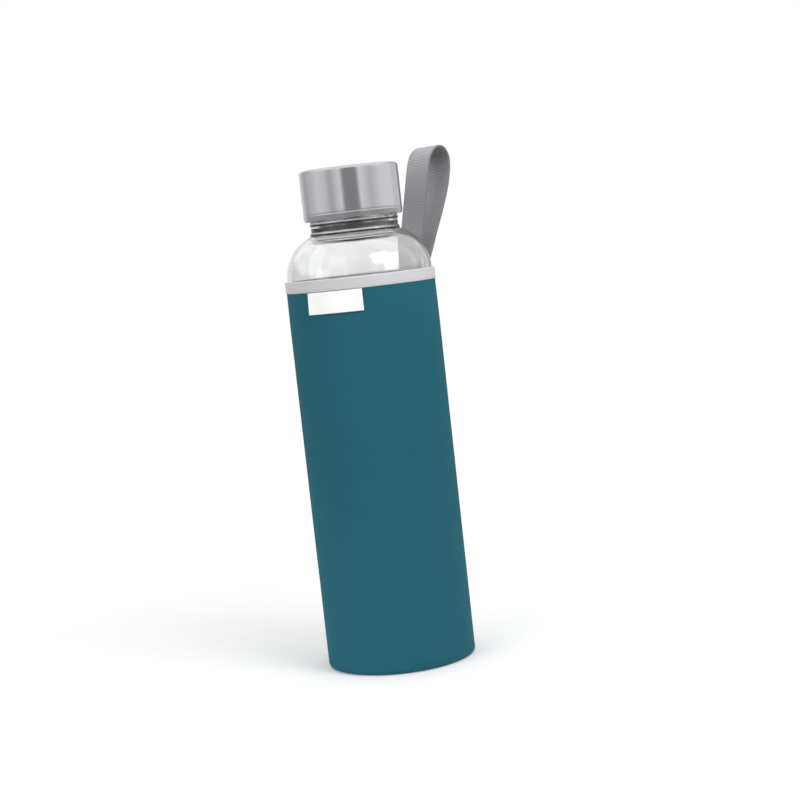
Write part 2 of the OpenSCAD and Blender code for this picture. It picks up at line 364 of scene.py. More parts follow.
# ---- materials
def glass_material():
    """Clear glass that casts only a faint shadow."""
    material, shader = new_material(
        "clear_glass", Base_Color=(0.888, 0.892, 0.892, 1), Roughness=0.0, IOR=1.47,
        Transmission_Weight=1.0)
    path = add_node(shader.id_data, "ShaderNodeLightPath")
    rays = [Value(path.outputs[name]) for name in ("Is Shadow Ray", "Is Diffuse Ray")]
    see_through(shader, calc("MAXIMUM", *rays), (0.985, 0.99, 0.988, 1))
    ripple = noise_value(surface_mm(shader)[2], 0.05, 1.0)
    wire(shader, Normal=bump(ripple, 0.25, 0.25))
    return material


def steel_material():
    """Steel brushed round and round on a lathe, with fine lines that run round the cap."""
    material, shader = new_material(
        "brushed_steel", Metallic=1.0, Anisotropic=0.75, Anisotropic_Rotation=0.25)
    u, v, _ = surface_mm(shader)
    fine = noise_value(vector_of(u * 0.012, v), 9.0, 3.0, 0.65)
    broad = noise_value(vector_of(u * 0.03, v), 1.3, 2.0)
    lines = fine * 0.7 + broad * 0.3
    tangent = node_value(shader.id_data, "ShaderNodeTangent", direction_type="RADIAL", axis="Z")
    wire(shader, Base_Color=mix_colour(lines, srgb(189, 188, 193), srgb(211, 210, 215)),
         Roughness=map_range(lines, 0.3, 0.7, 0.21, 0.27), Tangent=tangent,
         Normal=bump(fine, 0.008, 0.2))
    return material


def plastic_material():
    material, shader = new_material("liner_plastic", Specular_IOR_Level=0.45)
    _, _, place = surface_mm(shader)
    grain = noise_value(place, 3.0, 3.0)
    cloud = noise_value(place, 0.12, 2.0)
    wire(shader, Base_Color=mix_colour(cloud, srgb(126, 127, 130), srgb(140, 141, 144)),
         Roughness=map_range(cloud, 0.0, 1.0, 0.38, 0.5), Normal=bump(grain, 0.02, 0.3))
    return material


def silicone_material():
    material, shader = new_material(
        "silicone", Subsurface_Weight=0.25, Subsurface_Scale=0.002, Specular_IOR_Level=0.4)
    cloud = noise_value(surface_mm(shader)[2], 0.25, 3.0)
    wire(shader, Base_Color=mix_colour(cloud, srgb(222, 222, 217), srgb(234, 233, 229)),
         Roughness=map_range(cloud, 0.0, 1.0, 0.42, 0.58), Normal=bump(cloud, 0.03, 0.2))
    return material


def knit_height(u, v, wale):
    """A jersey knit's face: columns of small V-shaped loops, as a height from 0 to 1."""
    from_middle = calc("ABSOLUTE", calc("FRACT", u / wale) - 0.5)
    row = v / COURSE + from_middle * 1.3
    ridge = calc("SINE", calc("FRACT", row) * math.pi)
    leg = (from_middle - 0.25) * 4.0
    return ridge * 0.6 + (1.0 - leg * leg) * 0.4


def neoprene_material():
    """A fine matt jersey laminated to neoprene foam."""
    material, shader = new_material(
        "teal_neoprene", Roughness=0.85, Specular_IOR_Level=0.12, Sheen_Weight=0.03,
        Sheen_Roughness=0.45, Sheen_Tint=srgb(120, 170, 185))
    u, v, place = surface_mm(shader)
    girth = TURN * SLEEVE_R
    knit = knit_height(u, v, girth / round(girth / WALE))
    cloud = noise_value(place, 0.035, 3.0)
    fuzz = noise_value(place, 5.0, 2.0, 0.7)
    rib = noise_value(vector_of(u * 0.04, v), 1.1, 2.0)
    colour = mix_colour(cloud, srgb(30, 86, 99), srgb(36, 92, 106))
    # painted shade: the knit's loops are darker in the gaps between them; rib, fuzz and cloud are
    # random tone
    shade = knit * 0.16 + rib * 0.14 + fuzz * 0.06 + 0.82
    wire(shader, Base_Color=shaded(colour, shade), Normal=bump(knit + fuzz * 0.35, 0.06, 0.45))
    return material


def tape_material():
    """Smooth binding tape with fine ribs along its length."""
    material, shader = new_material(
        "binding_tape", Roughness=0.62, Specular_IOR_Level=0.3, Sheen_Weight=0.1,
        Sheen_Roughness=0.4)
    u, v, place = surface_mm(shader)
    weave = yarns(v, 0.42) + yarns(u, 0.35) * 0.35
    fuzz = noise_value(place, 2.5, 2.0)
    cloud = noise_value(place, 0.06, 2.0)
    colour = mix_colour(cloud, srgb(188, 187, 190), srgb(198, 197, 200))
    # painted shade: the tape is slightly darker in the troughs between its ribs
    wire(shader, Base_Color=shaded(colour, weave * 0.018 + 0.975),
         Normal=bump(weave * 0.5 + fuzz, 0.03, 0.5))
    return material


def webbing_material():
    """Herringbone webbing. The mesh carries the twill's relief, which also drives painted shade:
    darker furrows and darker rounded edges.
    """
    material, shader = new_material(
        "grey_webbing", Roughness=0.75, Specular_IOR_Level=0.25, Sheen_Weight=0.08,
        Sheen_Roughness=0.5)
    u, v, place = surface_mm(shader)
    relief = node_value(u.tree, "ShaderNodeAttribute", output="Fac", attribute_name="relief")
    yarn = yarns(u, 0.31)
    fuzz = noise_value(vector_of(u * 2.0, v), 1.6, 3.0, 0.6)
    cloud = noise_value(place, 0.05, 2.0)
    # painted shade: the rounded edges, whose relief is below zero, are darkened to hide the light
    # they catch
    painted_edge_shade = calc("MINIMUM", relief, 0.0)
    # painted shade: the colour is darker where the twill's relief is low, in its furrows
    colour = mix_colour(relief, srgb(138, 137, 141), srgb(162, 161, 165))
    # the yarn term paints shade between the yarns; fuzz and cloud are random tone
    shade = fuzz * 0.14 + painted_edge_shade * 0.6 + cloud * 0.1 + yarn * 0.02 + 0.88
    wire(shader, Base_Color=shaded(colour, shade), Normal=bump(yarn * 0.3 + fuzz, 0.05, 0.5))
    return material


def label_material():
    """White satin ribbon with a fine weave."""
    material, shader = new_material(
        "label_fabric", Roughness=0.5, Specular_IOR_Level=0.4, Sheen_Weight=0.1,
        Sheen_Roughness=0.3)
    u, v, place = surface_mm(shader)
    weave = yarns(u, 0.26) * yarns(v, 0.34)
    cloud = noise_value(place, 0.2, 2.0)
    colour = mix_colour(cloud, srgb(240, 240, 239), srgb(246, 246, 246))
    # painted shade: the ribbon is slightly darker where its weave is low, between the yarns
    wire(shader, Base_Color=shaded(colour, weave * 0.012 + 0.985), Normal=bump(weave, 0.02, 0.4))
    return material


def thread_material(name, dark, light):
    """Two-ply sewing thread: the ply's twist shows as slanting lines, painted darker in the grooves
    between the plies as shade.
    """
    material, shader = new_material(name, Roughness=0.55, Specular_IOR_Level=0.35)
    u, v, _ = surface_mm(shader)
    ply = calc("SINE", v * (TURN / 0.3) + u * 9.0) * 0.5 + 0.5
    # painted shade: the dark colour lies in the grooves between the plies
    wire(shader, Base_Color=mix_colour(ply, dark, light), Normal=bump(ply, 0.04, 0.6))
    return material


# ---- mesh helpers
def make_piece(name, verts, faces, uvs, material, sharp, relief=None):
    """A mesh object from points in millimetres. uvs has one pair for each corner of each face."""
    mesh = bpy.data.meshes.new(name)
    mesh.from_pydata((np.asarray(verts) * MM).tolist(), [], faces)
    layer = mesh.uv_layers.new(name="mm")
    layer.data.foreach_set("uv", np.asarray(uvs, np.float32).ravel())
    if relief is not None:
        made = mesh.attributes.new("relief", "FLOAT", "POINT")
        made.data.foreach_set("value", np.asarray(relief, np.float32))
    mesh.polygons.foreach_set("use_smooth", [True] * len(mesh.polygons))
    mesh.update()
    mesh.set_sharp_from_angle(angle=math.radians(sharp))
    mesh.materials.append(material)
    return add_object(name, mesh)


def finish_piece(piece, body, node):
    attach(piece, body)
    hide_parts(node)


def grid_faces(rows, columns, closed_rows, closed_columns):
    """Quads over a grid of points, as an index array (face, corner) of (row, column) pairs."""
    i = np.arange(rows if closed_rows else rows - 1)
    j = np.arange(columns if closed_columns else columns - 1)
    a, b = (m.ravel() for m in np.meshgrid(i, j, indexing="ij"))
    return np.stack([
        np.stack([a, b], 1), np.stack([a, b + 1], 1),
        np.stack([a + 1, b + 1], 1), np.stack([a + 1, b], 1),
    ], 1)


def skin(rows, columns, place_of, first=0):
    """The faces of a grid of points that closes after its last column, numbered from first, and
    the surface coordinates that place_of(row, column) gives for each of their corners."""
    quads = grid_faces(rows, columns, False, True).tolist()
    faces = [[first + r * columns + c % columns for r, c in quad] for quad in quads]
    return faces, [place_of(r, c) for quad in quads for r, c in quad]


def distances(points):
    """How far along a line each of its points is."""
    return np.r_[0, np.cumsum(np.linalg.norm(np.diff(points, axis=0), axis=1))]


def directions(points):
    """The way a line runs at each of its points, as unit vectors."""
    ahead = np.gradient(points, axis=0)
    return ahead / np.linalg.norm(ahead, axis=1)[:, None]


def lathe(name, outline, around, material, warp=None, *, sharp, planar=False):
    """Turns a closed outline of (radius, height) points, anticlockwise, about Z. A planar piece
    has its surface coordinates laid flat, as seen from above."""
    outline = np.asarray(outline, float)
    rows = len(outline)
    angles = np.arange(around) * TURN / around
    radius = np.repeat(outline[:, :1], around, 1)
    height = np.repeat(outline[:, 1:], around, 1)
    angle = np.repeat(angles[None, :], rows, 0)
    if warp:
        radius, height = warp(radius, height, angle)
    points = np.stack([radius * np.cos(angle), radius * np.sin(angle), height], 2)
    index = np.zeros((rows, around), int)
    verts = []
    for i in range(rows):
        on_axis = outline[i, 0] < 1e-6
        index[i] = len(verts) + (0 if on_axis else np.arange(around))
        verts.extend([points[i].mean(0)] if on_axis else points[i])
    along = distances(np.r_[outline, outline[:1]])
    circumference = TURN * outline[:, 0].max()
    faces, uvs = [], []
    for quad in grid_faces(rows, around, True, True):
        corners = {}
        for row, column in quad:
            at = row % rows, column % around
            uv = (column / around * circumference, along[row])
            corners.setdefault(int(index[at]), tuple(points[at][:2]) if planar else uv)
        if len(corners) > 2:
            faces.append(list(corners))
            uvs.extend(corners.values())
    return make_piece(name, verts, faces, uvs, material, sharp)


def arc(cx, cz, r, start, end, steps):
    """Points on an arc, in degrees, both ends included."""
    t = np.radians(np.linspace(start, end, steps + 1))
    return [(cx + r * math.cos(a), cz + r * math.sin(a)) for a in t]


def line(a, b, steps):
    """Points from a to b, leaving b out."""
    return [tuple(np.array(a) + (np.array(b) - np.array(a)) * k / steps) for k in range(steps)]


def smooth_max(values, softness):
    """The largest of several curves, rounded where they meet."""
    values = np.array(values)
    top = values.max(0)
    return top + softness * np.log(np.exp((values - top) / softness).sum(0))


def smooth_step(low, high, value):
    t = np.clip((value - low) / (high - low), 0, 1)
    return t * t * (3 - 2 * t)


def waves(angle, height, seed):
    """A slow, smooth unevenness around and along a tube, from -1 to 1."""
    count = 6
    rng = np.random.default_rng(seed)
    total = np.zeros_like(angle)
    for _ in range(count):
        turns, length = rng.integers(1, 6), rng.uniform(25, 90)
        phase, lean = rng.uniform(0, 6.28, 2)
        total += np.sin(turns * angle + phase) * np.sin(TURN * height / length + lean)
    return total / count


def turned(angle, radius, side, height):
    """Points at a radius and height, side millimetres round from an angle."""
    a = angle + np.asarray(side, float) / radius
    r = np.broadcast_to(radius, a.shape)
    z = np.broadcast_to(height, a.shape)
    return np.stack([r * np.cos(a), r * np.sin(a), z], -1)


def sew(name, paths, thickness, material, node):
    """One piece on the sleeve, of many short threads: each path is a list of points and the
    direction away from the cloth."""
    sides = 8
    verts, faces, uvs = [], [], []
    turn = np.arange(sides) * TURN / sides
    for points, away in paths:
        points = np.asarray(points, float)
        n = len(points)
        ahead = directions(points)
        out = away - ahead * (ahead @ away)[:, None]
        out /= np.linalg.norm(out, axis=1)[:, None]
        across = np.cross(ahead, out)
        share = np.linspace(0, 1, n)
        radii = thickness / 2 * (0.55 + 0.45 * np.sqrt(np.clip(np.sin(math.pi * share), 0, 1)))
        spoke = np.cos(turn)[:, None] * out[:, None] + np.sin(turn)[:, None] * across[:, None]
        ring = points[:, None] + radii[:, None, None] * spoke
        first = len(verts)
        verts.extend(ring.reshape(-1, 3))
        length = distances(points)
        wall, places = skin(
            n, sides, lambda r, c: (c / sides * math.pi * thickness, length[r]), first)
        faces += wall
        uvs += places
        for row, order in ((0, -1), (n - 1, 1)):
            faces.append([first + row * sides + k for k in range(sides)][::order])
            uvs.extend([(k / sides, length[row]) for k in range(sides)][::order])
    finish_piece(make_piece(name, verts, faces, uvs, material, sharp=60), "sleeve", node)


def stitch_path(start, end, lift):
    """A thread that comes up out of the cloth, lies along it and goes down again."""
    start, end, lift = (np.asarray(p, float) for p in (start, end, lift))
    away = lift / np.linalg.norm(lift)
    share = np.linspace(0, 1, 7)
    arch = np.minimum(1, np.sin(math.pi * share) * 1.6)
    return start + (end - start) * share[:, None] + lift * (arch - 1)[:, None], away


# ---- glass
def thread_ridge(angle, height, first_z, half_crest):
    """How far a one-start right-hand thread stands up, from 0 to 1. Its foot is 2 mm wide."""
    best = np.zeros_like(angle)
    for turn in range(math.ceil(THREAD_TURNS) + 1):
        travel = angle / TURN + turn
        middle = first_z + THREAD_PITCH * travel
        fade = np.clip(np.minimum(travel, THREAD_TURNS - travel) * 7 + 0.1, 0, 1)
        side = smooth_step(1.0, half_crest, np.abs(height - middle))
        best = np.maximum(best, side * fade * (travel <= THREAD_TURNS))
    return best


def neck_line(z):
    """The neck's outside: the shoulder's arc, the straight neck, a bead and a smaller ring."""
    inside = np.clip(SHOULDER_R ** 2 - (z - SHOULDER_Z) ** 2, 0, None)
    shoulder = SHOULDER_X + np.sqrt(inside)

    def ring(middle, r):
        return NECK_R - RINGS_SUNK + np.sqrt(np.clip(r ** 2 - (z - middle) ** 2, 0, None))

    curves = [shoulder, np.full_like(z, NECK_R), ring(BEAD_Z, BEAD_R), ring(RING_Z, RING_R)]
    return smooth_max(curves, 0.06)


def glass_outline():
    lip = (NECK_R - MOUTH_R) / 2
    lip_z = RIM_Z - lip
    punt_curve = (PUNT_R ** 2 + PUNT_H ** 2) / (2 * PUNT_H)
    punt_z = GLASS_LOW + PUNT_H - punt_curve
    inner_r = GLASS_R - GLASS_WALL
    inner_floor = GLASS_LOW + GLASS_FLOOR
    points = [(0, GLASS_LOW + PUNT_H)]
    for r in np.linspace(3, PUNT_R - 0.8, 8):
        points.append((r, punt_z + math.sqrt(punt_curve ** 2 - r * r)))
    points += [(PUNT_R + 0.4, GLASS_LOW + 0.03), (PUNT_R + 1.6, GLASS_LOW)]
    points += arc(GLASS_R - GLASS_HEEL, GLASS_LOW + GLASS_HEEL, GLASS_HEEL, -90, 0, 12)
    points += line((GLASS_R, GLASS_LOW + GLASS_HEEL + 4), (GLASS_R, SHOULDER_Z), 16)
    points += arc(SHOULDER_X, SHOULDER_Z, SHOULDER_R, 0, 64, 44)
    near_bead = np.arange(points[-1][1] + 0.08, RING_Z + 1.2, 0.07)
    plain = np.linspace(RING_Z + 1.5, THREAD_Z - 1.4, 8)
    threaded = np.arange(THREAD_Z - 1.2, THREAD_Z + THREAD_RUN + 1.1, 0.16)
    for z in (near_bead, plain, threaded):
        points += list(zip(neck_line(z), z))
    points += arc(NECK_R - lip, lip_z, lip, 0, 180, 14)
    shoulder_in = SHOULDER_R - GLASS_WALL
    # the mouth's bore flares into the shoulder on a curve of radius THROAT_R, tangent to both
    throat_x = MOUTH_R + THROAT_R
    reach = shoulder_in + THROAT_R
    meets = math.acos((throat_x - SHOULDER_X) / reach)
    throat_z = SHOULDER_Z + reach * math.sin(meets)
    points += [(MOUTH_R, z) for z in np.linspace(lip_z - 2, throat_z + 1, 16)]
    points += arc(throat_x, throat_z, THROAT_R, 180, 180 + math.degrees(meets), 26)
    points += arc(SHOULDER_X, SHOULDER_Z, shoulder_in, math.degrees(meets) - 1, 0, 44)
    points += line((inner_r, SHOULDER_Z - 6), (inner_r, inner_floor + GLASS_HEEL), 16)
    points += arc(inner_r - GLASS_HEEL, inner_floor + GLASS_HEEL, GLASS_HEEL, 0, -90, 12)
    points += [(r, inner_floor + 0.5 * (1 - (r / 26) ** 2)) for r in (24, 20, 15, 10, 5)]
    points.append((0, inner_floor + 0.5))
    return points


def warp_glass(radius, height, angle):
    outside = (radius > NECK_R - 0.1) & (height > THREAD_Z - 1.3)
    thread = thread_ridge(angle, height, THREAD_Z, 0.45)
    radius = radius + np.where(outside & (height < RIM_Z - 1.2), THREAD_RISE * thread, 0)
    # only the inner wall is uneven, between the heel and the throat
    inner_wall = (radius <= GLASS_R - GLASS_WALL + 0.01) & (radius > MOUTH_R + 1)
    inner_wall &= (height > 12) & (height < SHOULDER_Z + 17)
    return radius + np.where(inner_wall, 0.05 * waves(angle, height, 5), 0), height


def make_glass(material):
    piece = lathe("glass_body", glass_outline(), 256, material, warp_glass, sharp=50)
    finish_piece(piece, "glass", "glass_bottle")


# ---- cap
def make_cap_shell(material):
    crown = 0.25
    hem_top = CAP_LOW + HEM_H
    flat_r = CAP_R - CAP_CORNER
    points = arc(HEM_R - 0.85, CAP_LOW + 0.45, 0.45, -82, -10, 7)
    points += line((HEM_R - 0.39, CAP_LOW + 0.47), (HEM_R - 0.02, CAP_LOW + 2.3), 6)
    points += arc(HEM_R - 0.25, hem_top - 0.6, 0.25, -8, 80, 7)
    points += [(CAP_R - x, hem_top + z) for x, z in ((0.1, -0.22), (0.13, -0.1), (0.03, 0.12))]
    points += line((CAP_R, hem_top + 0.4), (CAP_R, CAP_TOP - CAP_CORNER - crown), 14)
    points += arc(flat_r, CAP_TOP - CAP_CORNER - crown, CAP_CORNER, 0, 88, 14)
    points += [(r, CAP_TOP - crown * (r / flat_r) ** 2) for r in np.linspace(flat_r - 0.6, 1.5, 14)]
    under = CAP_TOP - STEEL - crown
    points += [(0, CAP_TOP)] + [(r, under) for r in (0, 6, 12, 18)]
    inner_corner = CAP_CORNER - STEEL
    points += arc(CAP_R - STEEL - inner_corner, under - inner_corner, inner_corner, 90, 0, 6)
    points += line((CAP_R - STEEL, under - 3), (CAP_R - STEEL, hem_top + 0.1), 4)
    curl_r = 0.45
    hem_in = CAP_R - 1.15
    points.append((CAP_R - STEEL, hem_top - 0.05))
    points += arc(hem_in + curl_r, hem_top - curl_r - 0.1, curl_r, 90, 180, 5)
    points += arc(hem_in + curl_r, CAP_LOW + curl_r, curl_r, 180, 262, 5)
    piece = lathe("cap_steel_shell", points, 192, material, sharp=50)
    finish_piece(piece, "cap", "cap_shell")


def make_liner(material):
    roof = SEAL_TOP + 0.05
    corner = 1.2
    low = LINER_LOW
    points = [(LINER_BORE + 0.25, low), (LINER_R - 0.25, low), (LINER_R, low + 0.25)]
    points += line((LINER_R, low + 1), (LINER_R, LINER_TOP - corner), 4)
    points += arc(LINER_R - corner, LINER_TOP - corner, corner, 0, 90, 6)
    points += [(0, LINER_TOP), (0, roof)]
    points += [(LINER_BORE - 0.3, roof), (LINER_BORE, roof - 0.3)]
    heights = np.arange(LINER_THREAD_Z + THREAD_RUN + 1.2, LINER_THREAD_Z - 1.2, -0.18)
    points += [(LINER_BORE, z) for z in heights]
    points.append((LINER_BORE, low + 0.3))

    def warp(radius, height, angle):
        ridge = thread_ridge(angle, height, LINER_THREAD_Z, 0.5)
        bore = (np.abs(radius - LINER_BORE) < 0.01) & (height < roof - 0.5)
        return radius - np.where(bore, 0.95 * ridge, 0), height

    piece = lathe("cap_plastic_liner", points, 160, material, warp, sharp=45)
    finish_piece(piece, "cap", "cap_liner")


def make_seal(material):
    c = 0.35
    ribs = [(r + dr, SEAL_LOW - dz) for r in (16.5, 19.0) for dr, dz in
            ((-0.35, 0.0), (-0.15, 0.03), (0.15, 0.03), (0.35, 0.0))]
    points = [(SEAL_BORE + c, SEAL_LOW)] + ribs + [(SEAL_R - c, SEAL_LOW)]
    points += arc(SEAL_R - c, SEAL_LOW + c, c, -75, 0, 4)
    points += arc(SEAL_R - c, SEAL_TOP - c, c, 0, 90, 5)
    points += [(r, SEAL_TOP - 0.06) for r in (19.5, 17.75, 16.0)]
    points += arc(SEAL_BORE + c, SEAL_TOP - c, c, 90, 180, 5)
    points += arc(SEAL_BORE + c, SEAL_LOW + c, c, 180, 255, 4)
    piece = lathe("cap_silicone_ring", points, 128, material, sharp=60)
    finish_piece(piece, "seal", "cap_seal")


# ---- sleeve
def sleeve_outline():
    gap = 0.02  # between the cloth and its tape
    under_tape = BINDING_R - TAPE - gap
    inside_tape = BORE + TAPE + gap
    tape_low = BINDING_LOW - gap
    top = BINDING_HIGH - TAPE - gap
    points = [(LIP_R, SEAM_DEPTH), (LIP_R + 0.4, SEAM_DEPTH), (LIP_R + 0.5, 0.08)]
    points += [(LIP_R + 0.65, 0)] + arc(SLEEVE_R - HEEL, HEEL, HEEL, -90, 0, 12)
    points += [(SLEEVE_R, z) for z in (3, 4, 4.6, 4.9, 5.2, 5.6, 7)]
    points += line((SLEEVE_R, 10), (SLEEVE_R, STRAIGHT_TOP - 4), 48)
    points += [(SLEEVE_R, z) for z in STRAIGHT_TOP + np.array((-2.5, -1.2, -0.6, -0.2, 0.1, 0.5))]
    points += line((SLEEVE_R, STRAIGHT_TOP + 1.5), (SLEEVE_R - WAIST, tape_low), 10)
    points += [(SLEEVE_R - WAIST, tape_low), (under_tape, tape_low + 0.05)]
    points += [(under_tape, top - 0.15), (under_tape - 0.15, top), (inside_tape + 0.15, top)]
    points += [(inside_tape, top - 0.15), (inside_tape, tape_low), (BORE, tape_low - 0.05)]
    points += line((BORE, tape_low - 4), (BORE, HEEL), 16)
    points += arc(SLEEVE_R - HEEL, HEEL, HEEL - WALL, 0, -90, 6)
    points += [(LIP_R + 0.1, WALL), (LIP_R, WALL - 0.1)]
    return points


def warp_sleeve(radius, height, angle):
    """A sunk flat seam up the back, and the slight unevenness of a sewn tube."""
    outer = (radius > SLEEVE_R - WAIST - 0.01) & (height > 2.5)
    side = np.abs(angle - STRAP_ANGLE) * SLEEVE_R
    across = 1 - smooth_step(1.85, 2.15, side)
    along = smooth_step(4.7, 5.1, height)
    along = along * (1 - smooth_step(STRAIGHT_TOP - 0.4, STRAIGHT_TOP, height))
    hollow = SEAM_DEPTH * across * along
    # the cloth swells a little beside the stitching
    swell = 0.1 * np.exp(-((side - 2.9) / 0.8) ** 2) * along
    wave = np.sin(TURN * height / BACK_SEAM_STEP)
    pucker = 0.04 * np.exp(-((side - 2.6) / 0.9) ** 2) * wave * along
    sag = 0.07 * waves(angle, height, 11) * smooth_step(2.5, 12, height)
    sag *= 1 - smooth_step(BINDING_HIGH - 18, BINDING_HIGH - 6, height)
    sag *= 1 - np.clip(across + swell * 9, 0, 1)
    return radius + np.where(outer, -hollow + swell + pucker + sag - 0.02, 0), height


def make_sleeve(material):
    piece = lathe("sleeve_neoprene", sleeve_outline(), 420, material, warp_sleeve, sharp=45)
    finish_piece(piece, "sleeve", "sleeve_tube")


def make_base(material):
    edge = BASE_R - 0.5
    points = [(0, 0.25), (5, 0.22), (12, 0.12), (20, 0.03), (26, 0), (edge - 0.15, 0), (edge, 0.12)]
    points += [(edge + 0.02, SEAM_DEPTH), (BASE_R - 0.1, SEAM_DEPTH), (BASE_R, SEAM_DEPTH + 0.1)]
    points += [(BASE_R, BASE_T - 0.15)] + [(r, BASE_T) for r in (BASE_R - 0.15, 24, 12, 0)]
    piece = lathe("sleeve_base_disc", points, 192, material, sharp=45, planar=True)
    finish_piece(piece, "sleeve", "sleeve_base")


def make_binding(material):
    """Tape folded over the sleeve's edge, dimpled where each stitch pulls it down."""
    low, high, r = BINDING_LOW, BINDING_HIGH, BINDING_R
    c = 0.45
    points = [(r - TAPE, low + 0.06), (r - TAPE + 0.08, low), (r - 0.1, low), (r - 0.02, low + 0.1)]
    points += [(r, z) for z in np.arange(low + 0.25, low + 1.3, 0.15)]
    points += line((r, low + 1.4), (r, high - c), 8)
    points += arc(r - c, high - c, c, 0, 90, 6)
    points += arc(BORE + c, high - c, c, 90, 180, 6)
    points += line((BORE, high - c - 0.5), (BORE, low), 5)
    points += [(BORE + 0.06, low), (BORE + TAPE, low + 0.06), (BORE + TAPE, high - TAPE - 0.1)]
    points += [(BORE + TAPE + 0.1, high - TAPE), (r - TAPE - 0.1, high - TAPE)]
    points.append((r - TAPE, high - TAPE - 0.1))

    def warp(radius, height, angle):
        outer = radius > r - 0.12
        dip = 0.5 - 0.5 * np.cos(BINDING_STITCHES * angle)
        row = np.exp(-((height - low - 0.5) / 0.42) ** 2)
        crease = 0.07 * row * (0.35 + 0.65 * (1 - dip))
        hang = 0.05 * np.exp(-((height - low) / 0.25) ** 2) * dip
        slack = 0.03 * waves(angle, height * 6, 23)
        return radius + np.where(outer, -crease + hang + slack - 0.02, 0), height

    piece = lathe("sleeve_edge_binding", points, 6 * BINDING_STITCHES, material, warp, sharp=50)
    finish_piece(piece, "sleeve", "top_binding")


def make_binding_stitches(material):
    z = BINDING_LOW + 0.5
    r = BINDING_R + 0.02
    paths = []
    for k in range(BINDING_STITCHES):
        a = TURN * (k + 0.5) / BINDING_STITCHES
        apart = (a - STRAP_ANGLE + math.pi) % TURN - math.pi
        if abs(apart) * r < STRAP_W / 2 + 0.9:
            continue
        start, end = turned(a, r, (-0.62, 0.62), z)
        paths.append(stitch_path(start, end, 0.18 * turned(a, 1, 0, 0)))
    sew("binding_stitches", paths, 0.26, material, "binding_stitching")


def make_back_seam(material):
    """A flat seam up the back: two rows of stitches with a thread that crosses between them."""
    low, high, step = 6.0, STRAIGHT_TOP - 1.6, BACK_SEAM_STEP
    r = SLEEVE_R - SEAM_DEPTH + 0.17
    out = turned(STRAP_ANGLE, 1, 0, 0)
    paths = []
    for k in range(int((high - low) / step)):
        z = low + step * k
        for side in (-1.5, 1.5):
            a, b = (turned(STRAP_ANGLE, r, side, z + dz) for dz in (0.2, step - 0.2))
            paths.append(stitch_path(a, b, 0.2 * out))
        for start, end, rise in ((-1.45, 1.45, 0.0), (1.45, -1.45, step / 2)):
            share = np.linspace(0, 1, 9)
            side = start + (end - start) * share
            height = z + rise + step / 2 * share
            lift = 0.05 * np.sin(math.pi * share) - 0.04
            paths.append((turned(STRAP_ANGLE, r + lift, side, height), out))
    sew("back_seam_stitches", paths, 0.28, material, "back_seam_stitching")


def make_base_stitches(material):
    """Short slanting stitches that close the seam between the wall and the base disc."""
    paths = []
    inner, outer = LIP_R - 0.42, LIP_R + 0.33
    for k in range(BASE_STITCHES):
        start, end = (TURN * (k + share) / BASE_STITCHES for share in (0, 0.75))
        ends = turned(start, inner, 0, 0.21), turned(end, outer, 0, 0.21)
        paths.append(stitch_path(*ends, (0, 0, -0.16)))
    sew("base_seam_stitches", paths, 0.2, material, "base_stitching")


# ---- label
def make_label(material):
    """A folded ribbon: two layers joined by the fold at the bottom, held at the top."""
    front, back = LABEL_R + LABEL_T, LABEL_R
    fold = LABEL_T / 2
    low, high = LABEL_LOW, LABEL_HIGH
    outer_rows, inner_rows = 26, 24
    profile = [(front, z) for z in np.linspace(high, low + fold, outer_rows)]
    profile += arc(front - fold, low + fold, fold, 0, -180, 8)[1:-1]
    profile += [(back, z) for z in np.linspace(low + fold, high, outer_rows)]
    profile += [(back + RIBBON, z) for z in np.linspace(high, low + fold + 0.05, inner_rows)]
    profile += [(front - RIBBON, z) for z in np.linspace(low + fold + 0.05, high, inner_rows)]
    profile = np.array(profile)[::-1]
    drop = (high - profile[:, 1]) / (high - low)
    half = LABEL_W / 2
    sides = np.r_[-half, np.linspace(-half + 0.12, half - 0.12, 90), half]
    verts = []
    for s in sides:
        # the left edge and its lower corner stand a little off the sleeve
        stand = 0.75 * np.exp(-((s + half) / 2.4) ** 2) * (0.35 + 0.65 * drop)
        stand = stand + 0.16 * np.exp(-((s - half) / 2.0) ** 2) * drop
        stand = stand + 0.06 * np.sin(s / 3.1 + 1.2) * drop
        # its woven edges are a little thicker, and their corners round
        thicker = 0.03 * (abs(abs(s) - half + 0.55) < 0.5) - 0.05 * (abs(s) > half - 0.05)
        r = profile[:, 0] + stand + thicker * np.sign(profile[:, 0] - back - LABEL_T / 2)
        verts.append(turned(LABEL_ANGLE + s / SLEEVE_R, r, 0, profile[:, 1]))
    rows, columns = len(sides), len(profile)
    verts = np.concatenate(verts)
    along = distances(profile)
    faces, uvs = skin(rows, columns, lambda r, c: (sides[r], along[c % columns]))
    # each side edge is closed layer by layer, as strips between the outer and the inner line
    strip = 2 * inner_rows
    opposite = np.linspace(columns - 1, strip, strip).round().astype(int)
    for row in (0, rows - 1):
        for k in range(strip - 1):
            loop = [k, k + 1, *range(opposite[k + 1], opposite[k] + 1)]
            faces.append([row * columns + point for point in loop])
            uvs.extend([(sides[row], 0.0)] * len(loop))
    piece = make_piece("blank_label", verts, faces, uvs, material, sharp=60)
    face_outward(piece)
    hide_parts("label")
    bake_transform(piece)


def face_outward(piece):
    """Turns every face of a closed mesh to look out."""
    shell = bmesh.new()
    shell.from_mesh(piece.data)
    bmesh.ops.recalc_face_normals(shell, faces=shell.faces)
    shell.to_mesh(piece.data)
    shell.free()


# ---- strap
def spline(points, steps):
    """A smooth curve through points, as the part's source makes it."""
    p = np.asarray(points, float)
    out = []
    for i in range(len(p) - 1):
        a, b, c, d = (p[min(max(k, 0), len(p) - 1)] for k in (i - 1, i, i + 1, i + 2))
        for t in np.arange(steps) / steps:
            out.append(0.5 * (2 * b + (c - a) * t + (2 * a - 5 * b + 4 * c - d) * t ** 2
                              + (3 * b - a - 3 * c + d) * t ** 3))
    out.append(p[-1])
    return np.array(out)


